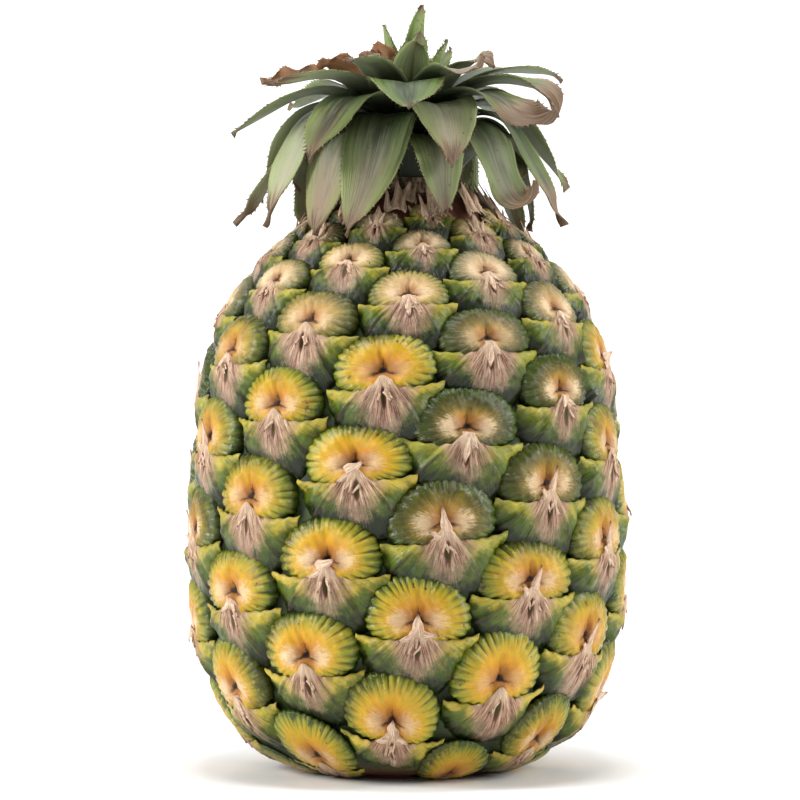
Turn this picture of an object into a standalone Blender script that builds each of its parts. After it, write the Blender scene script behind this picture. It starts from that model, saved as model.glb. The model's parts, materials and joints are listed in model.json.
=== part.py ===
"""A whole fresh pineapple: one fused fruit, its cut stalk, and the crown of leaves on its short stem.

The fruit stands on the XY plane with its axis on +Z and the middle of its cut stalk at the origin.
Units are metres and degrees. Angles run round +Z, and 0 points to -Y.
"""

import math

import bmesh
import bpy

MM = 0.001

# The fruit: radius and height of its outline, from the neck under the crown to the foot it stands on.
OUTLINE = [
    (18.0 * MM, 165.0 * MM),
    (24.5 * MM, 161.5 * MM),
    (32.5 * MM, 155.0 * MM),
    (40.5 * MM, 148.0 * MM),
    (47.5 * MM, 140.0 * MM),
    (54.0 * MM, 129.5 * MM),
    (58.5 * MM, 116.0 * MM),
    (61.0 * MM, 97.0 * MM),
    (62.8 * MM, 75.0 * MM),
    (63.2 * MM, 58.0 * MM),
    (61.5 * MM, 40.0 * MM),
    (57.5 * MM, 26.0 * MM),
    (50.5 * MM, 13.5 * MM),
    (41.5 * MM, 5.0 * MM),
    (33.0 * MM, 1.0 * MM),
    (27.0 * MM, 0.0 * MM),
]
WIDEST_RADIUS = 63.2 * MM
WIDEST_HEIGHT = 60.0 * MM
FOOT_INNER_RADIUS = 16.5 * MM
RECESS_RADIUS = 14.5 * MM
RECESS_DEPTH = 2.6 * MM
OUTLINE_STEPS = 12
FRUIT_COLUMNS = 72
FRUIT_ROWS = 40

# The spiral that the fruitlets follow, which turns by nearly the golden angle from each to the next.
DIVERGENCE = 137.921
FIRST_FRUITLET = -38
LAST_FRUITLET = 53
ZERO_ANGLE = -6.9
ZERO_DISTANCE = 65.4 * MM
SPACING = 2.066 * MM
SPACING_POWER_ABOVE = 0.96
SPACING_POWER_BELOW = -2.3
GROOVE_DEPTH = 3.0 * MM
FRUITLET_HALF_WIDTH = 16.5 * MM
FRUITLET_HALF_HEIGHT = 13.0 * MM

# The stalk, cut off level with the foot.
STALK_RADIUS = 12.5 * MM
STALK_HEIGHT = 2.2 * MM
GAP = 0.3 * MM

# The crown: a short tapered stem, and leaves that go on round the same spiral.
STEM_FOOT_RADIUS = 13.5 * MM
STEM_TOP_RADIUS = 2.2 * MM
STEM_HEIGHT = 31.0 * MM
STEM_SIDES = 32
LEAF_COUNT = 46
CROWN_ANGLE = -14.8
LEAF_THICKNESS = 0.7 * MM
LEAF_CHANNEL = 0.12
LEAF_ROWS = 9
LEAF_COLUMNS = 4
LEAF_TIP_HALF_WIDTH = 0.6 * MM
BEND_LENGTH = 36.0 * MM
LOWEST_LEAF = 2.4 * MM
HIGHEST_LEAF = 28.5 * MM
# From the lowest leaf to the topmost: share of the way up, start angle and angle after BEND_LENGTH
# above the horizon, length and width.
TIERS = [
    (0.00, 60.0, -88.0, 26.0 * MM, 12.0 * MM),
    (0.10, 72.0, -80.0, 48.0 * MM, 16.5 * MM),
    (0.20, 78.0, -74.0, 60.0 * MM, 19.0 * MM),
    (0.35, 76.0, -65.0, 61.0 * MM, 20.0 * MM),
    (0.46, 70.0, -44.0, 55.0 * MM, 19.0 * MM),
    (0.53, 65.0, -26.0, 50.0 * MM, 18.0 * MM),
    (0.62, 60.0, -13.0, 47.0 * MM, 17.0 * MM),
    (0.72, 54.0, -2.0, 42.0 * MM, 15.0 * MM),
    (0.80, 56.0, 10.0, 26.0 * MM, 11.0 * MM),
    (0.88, 72.0, 56.0, 20.0 * MM, 9.0 * MM),
    (0.97, 84.0, 76.0, 19.0 * MM, 8.0 * MM),
    (1.00, 88.0, 85.0, 26.0 * MM, 8.5 * MM),
]
# Leaves that grew aside or short: extra turn, and share of the tier's length.
LEAF_HABITS = {13: (-5.0, 1.0), 18: (-2.0, 0.76), 21: (-4.0, 0.9), 33: (-6.0, 1.12)}

RIND_GREEN = (0.22, 0.25, 0.05)
STALK_TAN = (0.45, 0.31, 0.16)
STEM_GREEN = (0.30, 0.36, 0.14)
LEAF_GREEN = (0.06, 0.13, 0.05)


def clear_scene():
    for obj in list(bpy.data.objects):
        bpy.data.objects.remove(obj, do_unlink=True)


def new_collection(name):
    made = bpy.data.collections.new(name)
    bpy.context.scene.collection.children.link(made)
    return made


def new_material(name, colour, roughness):
    made = bpy.data.materials.new(name)
    made.use_nodes = True
    shader = made.node_tree.nodes["Principled BSDF"]
    shader.inputs["Base Color"].default_value = (*colour, 1.0)
    shader.inputs["Roughness"].default_value = roughness
    shader.inputs["Metallic"].default_value = 0.0
    return made


def object_from(work, name, material, collection):
    """A named object from a bmesh, shaded smooth."""
    mesh = bpy.data.meshes.new(name)
    work.to_mesh(mesh)
    work.free()
    mesh.shade_smooth()
    mesh.materials.append(material)
    made = bpy.data.objects.new(name, mesh)
    collection.objects.link(made)
    return made


def between(low, high, share):
    return low + (high - low) * share


def smooth_line(knots, steps):
    """A Catmull-Rom curve through (radius, height) knots."""
    ends = [
        tuple(2 * a - b for a, b in zip(knots[0], knots[1])),
        tuple(2 * a - b for a, b in zip(knots[-1], knots[-2])),
    ]
    held = [ends[0], *knots, ends[1]]
    line = []
    for i in range(1, len(held) - 2):
        for step in range(steps):
            t = step / steps
            point = []
            for a, b, c, d in zip(held[i - 1], held[i], held[i + 1], held[i + 2]):
                bend = (2 * a - 5 * b + 4 * c - d) * t**2 + (-a + 3 * b - 3 * c + d) * t**3
                point.append(0.5 * (2 * b + (c - a) * t + bend))
            line.append(tuple(point))
    return [*line, knots[-1]]


class Track:
    """A (radius, height) line that can be read by the distance along it."""

    def __init__(self, points):
        self.points = points
        self.distance = [0.0]
        for first, second in zip(points, points[1:]):
            self.distance.append(self.distance[-1] + math.dist(first, second))
        self.length = self.distance[-1]

    def segment(self, s):
        s = min(max(s, 0.0), self.length)
        i = 0
        while i < len(self.points) - 2 and self.distance[i + 1] < s:
            i += 1
        return i, (s - self.distance[i]) / (self.distance[i + 1] - self.distance[i])

    def at(self, s):
        i, share = self.segment(s)
        return tuple(between(a, b, share) for a, b in zip(self.points[i], self.points[i + 1]))

    def outward(self, s):
        """The unit (radius, height) direction that points out of the fruit."""
        i, _ = self.segment(s)
        dr = self.points[i + 1][0] - self.points[i][0]
        dz = self.points[i + 1][1] - self.points[i][1]
        size = math.hypot(dr, dz)
        return -dz / size, dr / size


def on_circle(radius, degrees, height):
    turn = math.radians(degrees)
    return radius * math.sin(turn), -radius * math.cos(turn), height


def fruitlet_places(track):
    """Each fruitlet's angle, and its distance down the outline from the neck."""

    def spacing(s):
        radius, height = track.at(s)
        power = SPACING_POWER_ABOVE if height > WIDEST_HEIGHT else SPACING_POWER_BELOW
        return SPACING * (radius / WIDEST_RADIUS) ** power

    distances = {0: ZERO_DISTANCE}
    for n in range(1, LAST_FRUITLET + 1):
        distances[n] = distances[n - 1] + spacing(distances[n - 1])
    for n in range(-1, FIRST_FRUITLET - 1, -1):
        distances[n] = distances[n + 1] - spacing(distances[n + 1])
    return [((ZERO_ANGLE + DIVERGENCE * n) % 360.0, s) for n, s in distances.items()]


def groove(angle, s, radius, places):
    """How deep the rind lies under its outline here: 0 on a fruitlet, GROOVE_DEPTH between them."""
    half_width = FRUITLET_HALF_WIDTH * radius / WIDEST_RADIUS
    nearest = 1.0
    for its_angle, its_distance in places:
        across = math.radians((angle - its_angle + 180.0) % 360.0 - 180.0) * radius
        along = s - its_distance
        share = (across / half_width) ** 2 + (along / FRUITLET_HALF_HEIGHT) ** 2
        nearest = min(nearest, share)
    return GROOVE_DEPTH * nearest**2


def build_fruit(material, collection):
    """The fused fruit: a globe of rows and columns laid on its outline and dented between fruitlets."""
    track = Track(smooth_line(OUTLINE, OUTLINE_STEPS))
    places = fruitlet_places(track)
    work = bmesh.new()
    bmesh.ops.create_uvsphere(
        work, u_segments=FRUIT_COLUMNS, v_segments=FRUIT_ROWS, radius=1.0
    )
    top_height = OUTLINE[0][1]
    inner_rows = [
        (FOOT_INNER_RADIUS, 0.0),
        (RECESS_RADIUS, RECESS_DEPTH),
    ]
    skin_rows = FRUIT_ROWS - 2 - len(inner_rows)
    for vert in work.verts:
        row = round(math.acos(max(-1.0, min(1.0, vert.co.z))) / math.pi * FRUIT_ROWS)
        angle = math.degrees(math.atan2(vert.co.x, -vert.co.y))
        if row == 0:
            vert.co = (0.0, 0.0, top_height)
        elif row == FRUIT_ROWS:
            vert.co = (0.0, 0.0, RECESS_DEPTH)
        elif row > skin_rows + 1:
            radius, height = inner_rows[row - skin_rows - 2]
            vert.co = on_circle(radius, angle, height)
        else:
            s = track.length * (row - 1) / skin_rows
            radius, height = track.at(s)
            out_r, out_z = track.outward(s)
            ends = 1.0 if 0 < row - 1 < skin_rows else 0.0
            depth = ends * groove(angle, s, radius, places)
            height = max(0.0, height - out_z * depth)
            if row == skin_rows + 1:
                height = 0.0
            vert.co = on_circle(radius - out_r * depth, angle, height)
    return object_from(work, "fruit", material, collection)


def build_stalk(material, collection):
    bpy.ops.mesh.primitive_cylinder_add(
        vertices=STEM_SIDES,
        radius=STALK_RADIUS,
        depth=STALK_HEIGHT,
        location=(0.0, 0.0, STALK_HEIGHT / 2),
    )
    return adopt(bpy.context.object, "cut_stalk", material, collection)


def build_stem(material, collection):
    foot = OUTLINE[0][1] + GAP
    bpy.ops.mesh.primitive_cone_add(
        vertices=STEM_SIDES,
        radius1=STEM_FOOT_RADIUS,
        radius2=STEM_TOP_RADIUS,
        depth=STEM_HEIGHT,
        location=(0.0, 0.0, foot + STEM_HEIGHT / 2),
    )
    return adopt(bpy.context.object, "crown_stem", material, collection)


def adopt(obj, name, material, collection):
    """Names an object that an operator added, and moves it to the part's collection."""
    obj.name = name
    obj.data.name = name
    obj.data.materials.append(material)
    for owner in list(obj.users_collection):
        owner.objects.unlink(obj)
    collection.objects.link(obj)
    return obj


def stem_radius(rise):
    return between(STEM_FOOT_RADIUS, STEM_TOP_RADIUS, rise / STEM_HEIGHT)


def tier_at(share):
    """Start angle, end angle, length and width of the leaf this far up the crown."""
    upper = next(i for i, row in enumerate(TIERS) if row[0] >= share)
    lower = max(upper - 1, 0)
    low, high = TIERS[lower], TIERS[upper]
    span = high[0] - low[0]
    part = (share - low[0]) / span if span else 0.0
    return [between(a, b, part) for a, b in zip(low[1:], high[1:])]


def leaf_outline(v, width):
    """Half the leaf's width, v of the way from its foot to its tip."""
    shape = (0.66 + 0.75 * v) * (1.0 - v**2.2) ** 0.9
    return max(0.5 * width * shape, LEAF_TIP_HALF_WIDTH)


def leaf_line(share, length, start, end):
    """The leaf's middle line as (radius, height, slope) rows. Every leaf bends in its own shell."""
    rise = between(LOWEST_LEAF, HIGHEST_LEAF, share)
    radius = stem_radius(rise) + GAP + LEAF_THICKNESS
    height = OUTLINE[0][1] + GAP + rise
    rows = []
    fine = 8
    step = length / (LEAF_ROWS * fine)
    for i in range(LEAF_ROWS * fine + 1):
        bent = min(i * step / BEND_LENGTH, 1.0)
        slope = math.radians(between(start, end, bent * bent * (3.0 - 2.0 * bent)))
        if i % fine == 0:
            rows.append((radius, height, slope))
        radius += step * math.cos(slope)
        height += step * math.sin(slope)
    return rows


def build_leaf(number, material, collection):
    """One leaf: a flat grid bent along its line and round the stem, then given its thickness."""
    share = (number - 1) / (LEAF_COUNT - 1)
    start, end, length, width = tier_at(share)
    aside, shortened = LEAF_HABITS.get(number, (0.0, 1.0))
    angle = CROWN_ANGLE - DIVERGENCE * number + aside
    line = leaf_line(share, length * shortened, start, end)
    work = bmesh.new()
    bmesh.ops.create_grid(
        work, x_segments=LEAF_COLUMNS, y_segments=LEAF_ROWS, size=1.0
    )
    for vert in work.verts:
        u = vert.co.x
        row = round((vert.co.y + 1.0) / 2.0 * LEAF_ROWS)
        radius, height, slope = line[row]
        half = leaf_outline(row / LEAF_ROWS, width)
        raised = LEAF_CHANNEL * half * u * u * min(1.0, 2.0 * row / LEAF_ROWS)
        turn = math.degrees(u * half / radius)
        vert.co = on_circle(
            radius - raised * math.sin(slope),
            angle + turn,
            height + raised * math.cos(slope),
        )
    leaf = object_from(work, f"leaf_{number:02d}", material, collection)
    shell = leaf.modifiers.new("thickness", "SOLIDIFY")
    shell.thickness = LEAF_THICKNESS
    shell.offset = 0.0
    return leaf


def main():
    clear_scene()
    pineapple = new_collection("pineapple")
    build_fruit(new_material("rind", RIND_GREEN, 0.4), pineapple)
    build_stalk(new_material("stalk", STALK_TAN, 0.8), pineapple)
    build_stem(new_material("stem", STEM_GREEN, 0.6), pineapple)
    leaf_green = new_material("leaf", LEAF_GREEN, 0.45)
    for number in range(1, LEAF_COUNT + 1):
        build_leaf(number, leaf_green, pineapple)


main()
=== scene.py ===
"""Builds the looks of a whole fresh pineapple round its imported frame: the rind of fruitlets, the cut
foot, the crown of leaves and a plain studio stage.

Lengths are metres unless a name says otherwise. The fruit stands on the XY plane with its axis on +Z.
Angles round the axis start at -Y and run towards +X.
"""

import json
import math

import bpy
import numpy as np
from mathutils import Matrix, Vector

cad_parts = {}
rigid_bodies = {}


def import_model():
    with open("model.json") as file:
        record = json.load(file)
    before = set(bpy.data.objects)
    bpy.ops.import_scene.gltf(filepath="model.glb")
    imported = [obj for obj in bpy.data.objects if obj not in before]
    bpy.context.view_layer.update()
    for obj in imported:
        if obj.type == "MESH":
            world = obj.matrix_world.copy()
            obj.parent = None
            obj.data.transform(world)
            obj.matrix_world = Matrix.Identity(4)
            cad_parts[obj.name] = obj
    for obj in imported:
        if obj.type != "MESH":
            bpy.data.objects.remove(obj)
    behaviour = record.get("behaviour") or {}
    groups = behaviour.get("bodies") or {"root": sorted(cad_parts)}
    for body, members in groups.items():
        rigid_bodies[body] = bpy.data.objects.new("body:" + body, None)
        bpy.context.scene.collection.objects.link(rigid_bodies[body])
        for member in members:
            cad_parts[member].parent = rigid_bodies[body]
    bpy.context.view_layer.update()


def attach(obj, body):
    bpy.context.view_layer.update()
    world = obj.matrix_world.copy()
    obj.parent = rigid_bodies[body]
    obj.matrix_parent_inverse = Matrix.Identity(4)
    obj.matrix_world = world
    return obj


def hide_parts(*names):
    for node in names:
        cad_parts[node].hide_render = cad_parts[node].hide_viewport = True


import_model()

bl_info = {
    "name": "Fresh Pineapple",
    "version": (1, 0, 0),
    "blender": (4, 5, 0),
    "location": "3D View > Sidebar > Pineapple",
    "description": "Builds a pineapple's rind, foot and crown round its packed frame",
    "category": "Object",
}

MM = 0.001
BODY = "root"

# The fruit's outline as (radius, height), from the neck under the crown to the foot.
OUTLINE = [
    (18.0, 165.0), (24.5, 161.5), (32.5, 155.0), (40.5, 148.0), (47.5, 140.0), (54.0, 129.5),
    (58.5, 116.0), (61.0, 97.0), (62.8, 75.0), (63.2, 58.0), (61.5, 40.0), (57.5, 26.0),
    (50.5, 13.5), (41.5, 5.0), (33.0, 1.0), (27.0, 0.0),
]
OUTLINE_STEPS = 16
WIDEST_RADIUS = 63.2
WIDEST_HEIGHT = 60.0

# The spiral that fruitlets and leaves follow.
DIVERGENCE = 137.921
FIRST_FRUITLET = -42
LAST_FRUITLET = 58
ZERO_ANGLE = -6.9
ZERO_DISTANCE = 65.4
SPACING = 2.066
SPACING_POWER_ABOVE = 0.96
SPACING_POWER_BELOW = -2.3
WIDEST_SPACING = 3.0
MOST_STRETCH = 1.3
ROWS_OF_FRUITLETS = 8
TILES_ACROSS = 4

# The crown. A leaf starts on the stem, bends over BEND_LENGTH and then runs on straight.
CROWN_ANGLE = -14.8
LEAF_COUNT = 46
NECK_HEIGHT = 165.3
STEM_FOOT_RADIUS = 13.5
STEM_TOP_RADIUS = 2.2
STEM_HEIGHT = 31.0
BEND_LENGTH = 36.0
LOWEST_LEAF = 2.4
HIGHEST_LEAF = 28.5
# Rows of (share of the way up the crown, start angle, end angle, length, width).
TIERS = [
    (0.00, 60, -88, 26, 12),
    (0.10, 72, -80, 48, 16.5),
    (0.20, 78, -74, 60, 19),
    (0.35, 76, -65, 61, 20),
    (0.46, 70, -44, 55, 19),
    (0.53, 65, -26, 50, 18),
    (0.62, 60, -13, 47, 17),
    (0.72, 54, -2, 42, 15),
    (0.80, 56, 10, 26, 11),
    (0.88, 72, 56, 20, 9),
    (0.97, 84, 76, 19, 8),
    (1.00, 88, 85, 26, 8.5),
]
# Leaves that turn aside or grow shorter or longer: (extra turn, share of the length).
LEAF_HABITS = {13: (-5, 1.0), 18: (-2, 0.76), 21: (-4, 0.9), 33: (-6, 1.12)}
# Leaves whose look differs: (pale, dry share from the tip, blush, fold, curl of the tip, twist).
LEAF_LOOKS = {
    5: (0.25, 0.10, 0.3, 0.15, 20, 10),
    8: (0.25, 0.08, 1.0, 0.10, 0, 0),
    10: (0.3, 0.22, 0.2, 0.20, -150, 60),
    11: (1.0, 0.16, 0.1, 0.25, -14, 25),
    13: (0.2, 0.10, 0.55, 0.12, 0, 0),
    15: (0.1, 0.20, 0.1, 0.15, 10, 10),
    16: (0.9, 0.16, 0.3, 0.30, 0, 20),
    18: (0.55, 0.14, 0.5, 0.34, 10, 0),
    19: (0.9, 0.18, 0.2, 0.30, 0, -20),
    23: (0.2, 0.35, 0.6, 0.25, -60, 80),
    24: (0.35, 0.06, 0.0, 0.20, 0, 0),
    26: (0.0, 0.04, 0.0, 0.16, 0, 0),
    28: (0.15, 0.22, 0.3, 0.22, 70, 60),
    29: (0.95, 0.18, 0.2, 0.20, -20, 20),
    31: (0.15, 0.28, 0.5, 0.22, -40, 60),
    32: (0.4, 1.00, 0.6, 0.30, 10, 30),
    33: (0.2, 0.10, 0.1, 0.16, 30, 20),
    36: (0.25, 0.22, 0.1, 0.18, 60, 40),
    37: (0.3, 1.00, 0.3, 0.40, 40, 80),
    40: (0.2, 0.70, 0.1, 0.40, 60, 90),
    42: (0.1, 1.00, 0.1, 0.50, 80, 120),
}
# Blades that are broader than their solids, and how far a tip sways to one side in millimetres.
LEAF_BREADTH = {
    8: 1.4, 11: 0.8, 32: 0.8, 13: 1.15, 18: 1.2, 24: 1.3, 26: 1.5, 28: 1.3,
    39: 1.5, 41: 1.5, 43: 1.5, 44: 1.4, 45: 1.5, 46: 1.6,
}
LEAF_SWAY = {13: -8.0, 8: -3.0, 5: 1.0, 18: -1.0, 10: 2.0}
LEAF_LIFT = {11: 16.0, 15: 6.0, 10: 8.0}
USUAL_BREADTH = 1.1
LEAF_ROWS = 84
LEAF_COLUMNS = 13

# How ripe each fruitlet of the sunny side is. The others follow a rule.
RIPENESS = {
    -26: 0.30, -18: 0.25, -16: 0.40, -13: 0.50, -10: 0.35, -8: 0.42, -5: 0.16, -3: 0.45,
    0: 0.74, 3: 0.24, 5: 0.62, 8: 0.12, 10: 0.55, 11: 0.50, 13: 0.98, 16: 0.30, 18: 0.60,
    21: 0.30, 24: 0.55, 26: 0.95, 29: 0.60, 31: 0.66, 34: 0.72, 37: 0.60, 39: 0.92,
    42: 0.84, 44: 0.66, 47: 0.88, 52: 0.80, 50: 0.60, 55: 0.7,
}
# Which sort of bract tip each fruitlet of that side has kept.
TIP_SORTS = {
    -13: "down", -8: "torn", -5: "down", 0: "torn", 3: "curled", 8: "down", 13: "flap", 16: "up",
    21: "up", 26: "flap", 29: "up", 34: "thick", 39: "torn", 47: "thick", 42: "torn", 5: "torn",
    18: "torn", 31: "curled", 44: "down", -16: "torn", -18: "down", -3: "curled", 52: "torn",
}
SORT_NAMES = ["curled", "down", "flap", "foot", "neck", "scale", "thick", "torn", "up"]
USUAL_SORTS = ["torn", "down", "curled", "up", "flap"]
MAKES_PER_SORT = 2
# Fruitlets this near the ends of the outline are flattened neck or foot ones.
NECK_BAND = 22.0
FOOT_BAND = 24.0
# Papery scales round the neck are numbered down from FIRST_SCALE.
NECK_SCALES = 24
FIRST_SCALE = -100

# How finely each kind of surface is divided, and how thick the dry ones are in millimetres.
DOME_COLUMNS, DOME_RINGS = 132, 18
BRACT_ROWS, BRACT_COLUMNS = 28, 73
BLADE_ROWS, BLADE_COLUMNS = 12, 6
BRACT_THICKNESS = 0.5
BLADE_THICKNESS = 0.22
RIM_POWER = 2.25
FULL_TURN = 6.28

# What a point of the rind belongs to, kept in its "tissue" value.
SEPAL, BRACT, TIP = 0.0, 1.0, 2.0

RIND_SPECULAR = 0.38
LEAF_SPECULAR = 0.28
DRY_ROUGHNESS = 0.7

# The lights as (name, place, size, watts, aim): tall windows beside the fruit and one over it.
LIGHTS = [
    ("window_left", (-0.95, -0.25, 0.55), (0.20, 0.6), 11.0, (0.0, 0.0, 0.1)),
    ("window_top", (0.0, -0.15, 1.05), (0.35, 0.2), 5.5, (0.0, 0.0, 0.1)),
    ("window_right", (0.95, -0.15, 0.50), (0.2, 0.6), 8.0, (0.0, 0.0, 0.1)),
    ("backdrop_glow", (0.0, 0.9, 1.7), (1.6, 0.6), 40.0, (0.0, 2.2, 0.5)),
]
WORLD_STRENGTH = 0.26


def rng(*key):
    return np.random.default_rng([abs(int(1000 * k)) for k in key])


def smooth_line(knots, steps):
    """A Catmull-Rom curve through the knots, as an array of points."""
    held = np.array(knots, float)
    held = np.vstack([2 * held[0] - held[1], held, 2 * held[-1] - held[-2]])
    line = []
    t = np.arange(steps)[:, None] / steps
    for a, b, c, d in zip(held, held[1:], held[2:], held[3:]):
        bend = (2 * a - 5 * b + 4 * c - d) * t**2 + (-a + 3 * b - 3 * c + d) * t**3
        line.append(0.5 * (2 * b + (c - a) * t + bend))
    return np.vstack([*line, held[-2]])


def smoothstep(low, high, value):
    t = np.clip((value - low) / (high - low), 0.0, 1.0)
    return t * t * (3.0 - 2.0 * t)


def bump(value, centre, width):
    return np.exp(-(((value - centre) / width) ** 2))


class Track:
    """The fruit's outline, read by the distance along it from the neck, in millimetres."""

    def __init__(self):
        self.line = smooth_line(OUTLINE, OUTLINE_STEPS)
        steps = np.linalg.norm(np.diff(self.line, axis=0), axis=1)
        self.distance = np.concatenate([[0.0], np.cumsum(steps)])
        self.length = self.distance[-1]

    def at(self, s):
        radius = np.interp(s, self.distance, self.line[:, 0])
        height = np.interp(s, self.distance, self.line[:, 1])
        return radius, height

    def spacing(self, s):
        radius, height = self.at(s)
        power = SPACING_POWER_ABOVE if height > WIDEST_HEIGHT else SPACING_POWER_BELOW
        return min(SPACING * (radius / WIDEST_RADIUS) ** power, WIDEST_SPACING)

    def fruitlets(self):
        """(number, angle, distance) of each fruitlet."""
        places = {0: ZERO_DISTANCE}
        for n in range(1, LAST_FRUITLET + 1):
            places[n] = places[n - 1] + self.spacing(places[n - 1])
        for n in range(-1, FIRST_FRUITLET - 1, -1):
            places[n] = places[n + 1] - self.spacing(places[n + 1])
        return [(n, ZERO_ANGLE + DIVERGENCE * n, places[n]) for n in sorted(places)]


class Shell:
    """Vertices, faces and point values that pile up into one mesh. Lengths are millimetres."""

    def __init__(self):
        self.points = []
        self.faces = []
        self.values = {}
        self.count = 0

    def add(self, points, faces, **values):
        self.points.append(points)
        self.faces += [[i + self.count for i in face] for face in faces]
        for name, value in values.items():
            shape = (len(points),) + np.shape(value)[1:]
            self.values.setdefault(name, []).append(np.broadcast_to(value, shape))
        self.count += len(points)

    def mesh(self, name):
        mesh = bpy.data.meshes.new(name)
        mesh.from_pydata((np.vstack(self.points) * MM).tolist(), [], self.faces)
        for key, parts in self.values.items():
            value = np.concatenate(parts).astype(np.float32)
            kind = "FLOAT" if value.ndim == 1 else "FLOAT_VECTOR"
            layer = mesh.attributes.new(key, kind, "POINT")
            layer.data.foreach_set("value" if value.ndim == 1 else "vector", value.ravel())
        mesh.shade_smooth()
        return mesh


def grid_faces(rows, columns, flip=False):
    faces = []
    for i in range(rows - 1):
        for j in range(columns - 1):
            corner = i * columns + j
            face = [corner, corner + 1, corner + columns + 1, corner + columns]
            faces.append(face[::-1] if flip else face)
    return faces


def rim_of(rows, columns):
    """The grid's edge vertices, once round, in the order that faces the rim outwards."""
    top = list(range(columns))
    right = [i * columns + columns - 1 for i in range(1, rows)]
    bottom = [(rows - 1) * columns + j for j in range(columns - 2, -1, -1)]
    left = [i * columns for i in range(rows - 2, 0, -1)]
    return top + right + bottom + left


def sheet_shell(points, thickness):
    """A closed shell on both sides of a grid of points. Returns its points, faces and side (1 is up)."""
    rows, columns = points.shape[:2]
    normal = np.cross(np.gradient(points, axis=0), np.gradient(points, axis=1))
    normal /= np.linalg.norm(normal, axis=2, keepdims=True) + 1e-12
    half = normal * (np.asarray(thickness)[..., None] / 2)
    both = np.vstack([(points + half).reshape(-1, 3), (points - half).reshape(-1, 3)])
    size = rows * columns
    under = [[i + size for i in face] for face in grid_faces(rows, columns)]
    rim = rim_of(rows, columns)
    strip = [[a, b, b + size, a + size] for a, b in zip(rim, rim[1:] + rim[:1])]
    side = np.repeat([1.0, 0.0], size)
    return both, grid_faces(rows, columns, flip=True) + under + strip, side


def closed_faces(columns, rings):
    """Faces of a shape of rings between two end points, which are its first and last vertices."""
    faces = []
    last = 1 + rings * columns
    for j in range(columns):
        k = (j + 1) % columns
        faces.append([0, 1 + j, 1 + k])
        for a in range(1, last - columns, columns):
            faces.append([a + j, a + columns + j, a + columns + k, a + k])
        faces.append([last, last - columns + k, last - columns + j])
    return faces


def turned_mesh(name, section, columns, wobble, finish):
    """A closed turned mesh from (radius, height) rows whose first and last lie on the axis."""
    turn = np.linspace(0.0, 2 * math.pi, columns, endpoint=False)
    rings = []
    for radius, height in section[1:-1]:
        out, up = wobble(turn, radius * np.ones(columns), height * np.ones(columns))
        rings.append(np.stack([out * np.sin(turn), -out * np.cos(turn), up], 1))
    points = np.vstack([[[0, 0, section[0][1]]], *rings, [[0, 0, section[-1][1]]]])
    shell = Shell()
    shell.add(points, closed_faces(columns, len(rings)))
    mesh = shell.mesh(name)
    mesh.materials.append(finish)
    return mesh


# --- Nodes and materials ---


class Nodes:
    """A short way to write a node tree. Each call returns the new node's output socket."""

    def __init__(self, tree):
        self.tree = tree

    def node(self, kind, inputs=(), output=0, **settings):
        made = self.tree.nodes.new(kind)
        for key, value in settings.items():
            setattr(made, key, value)
        for key, value in dict(inputs).items():
            self.feed(made.inputs[key], value)
        return made.outputs[output]

    def feed(self, socket, value):
        if isinstance(value, bpy.types.NodeSocket):
            self.tree.links.new(value, socket)
        elif socket.type == "RGBA" and len(value) == 3:
            socket.default_value = (*value, 1.0)
        else:
            socket.default_value = value

    def math(self, operation, a, b=0.0):
        return self.node("ShaderNodeMath", {0: a, 1: b}, operation=operation)

    def times(self, a, *more):
        for b in more:
            a = self.math("MULTIPLY", a, b)
        return a

    def plus(self, a, *more):
        for b in more:
            a = self.math("ADD", a, b)
        return a

    def combine(self, x, y, z):
        return self.node("ShaderNodeCombineXYZ", {0: x, 1: y, 2: z})

    def split(self, vector):
        return self.node("ShaderNodeSeparateXYZ", {0: vector}).node.outputs


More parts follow.
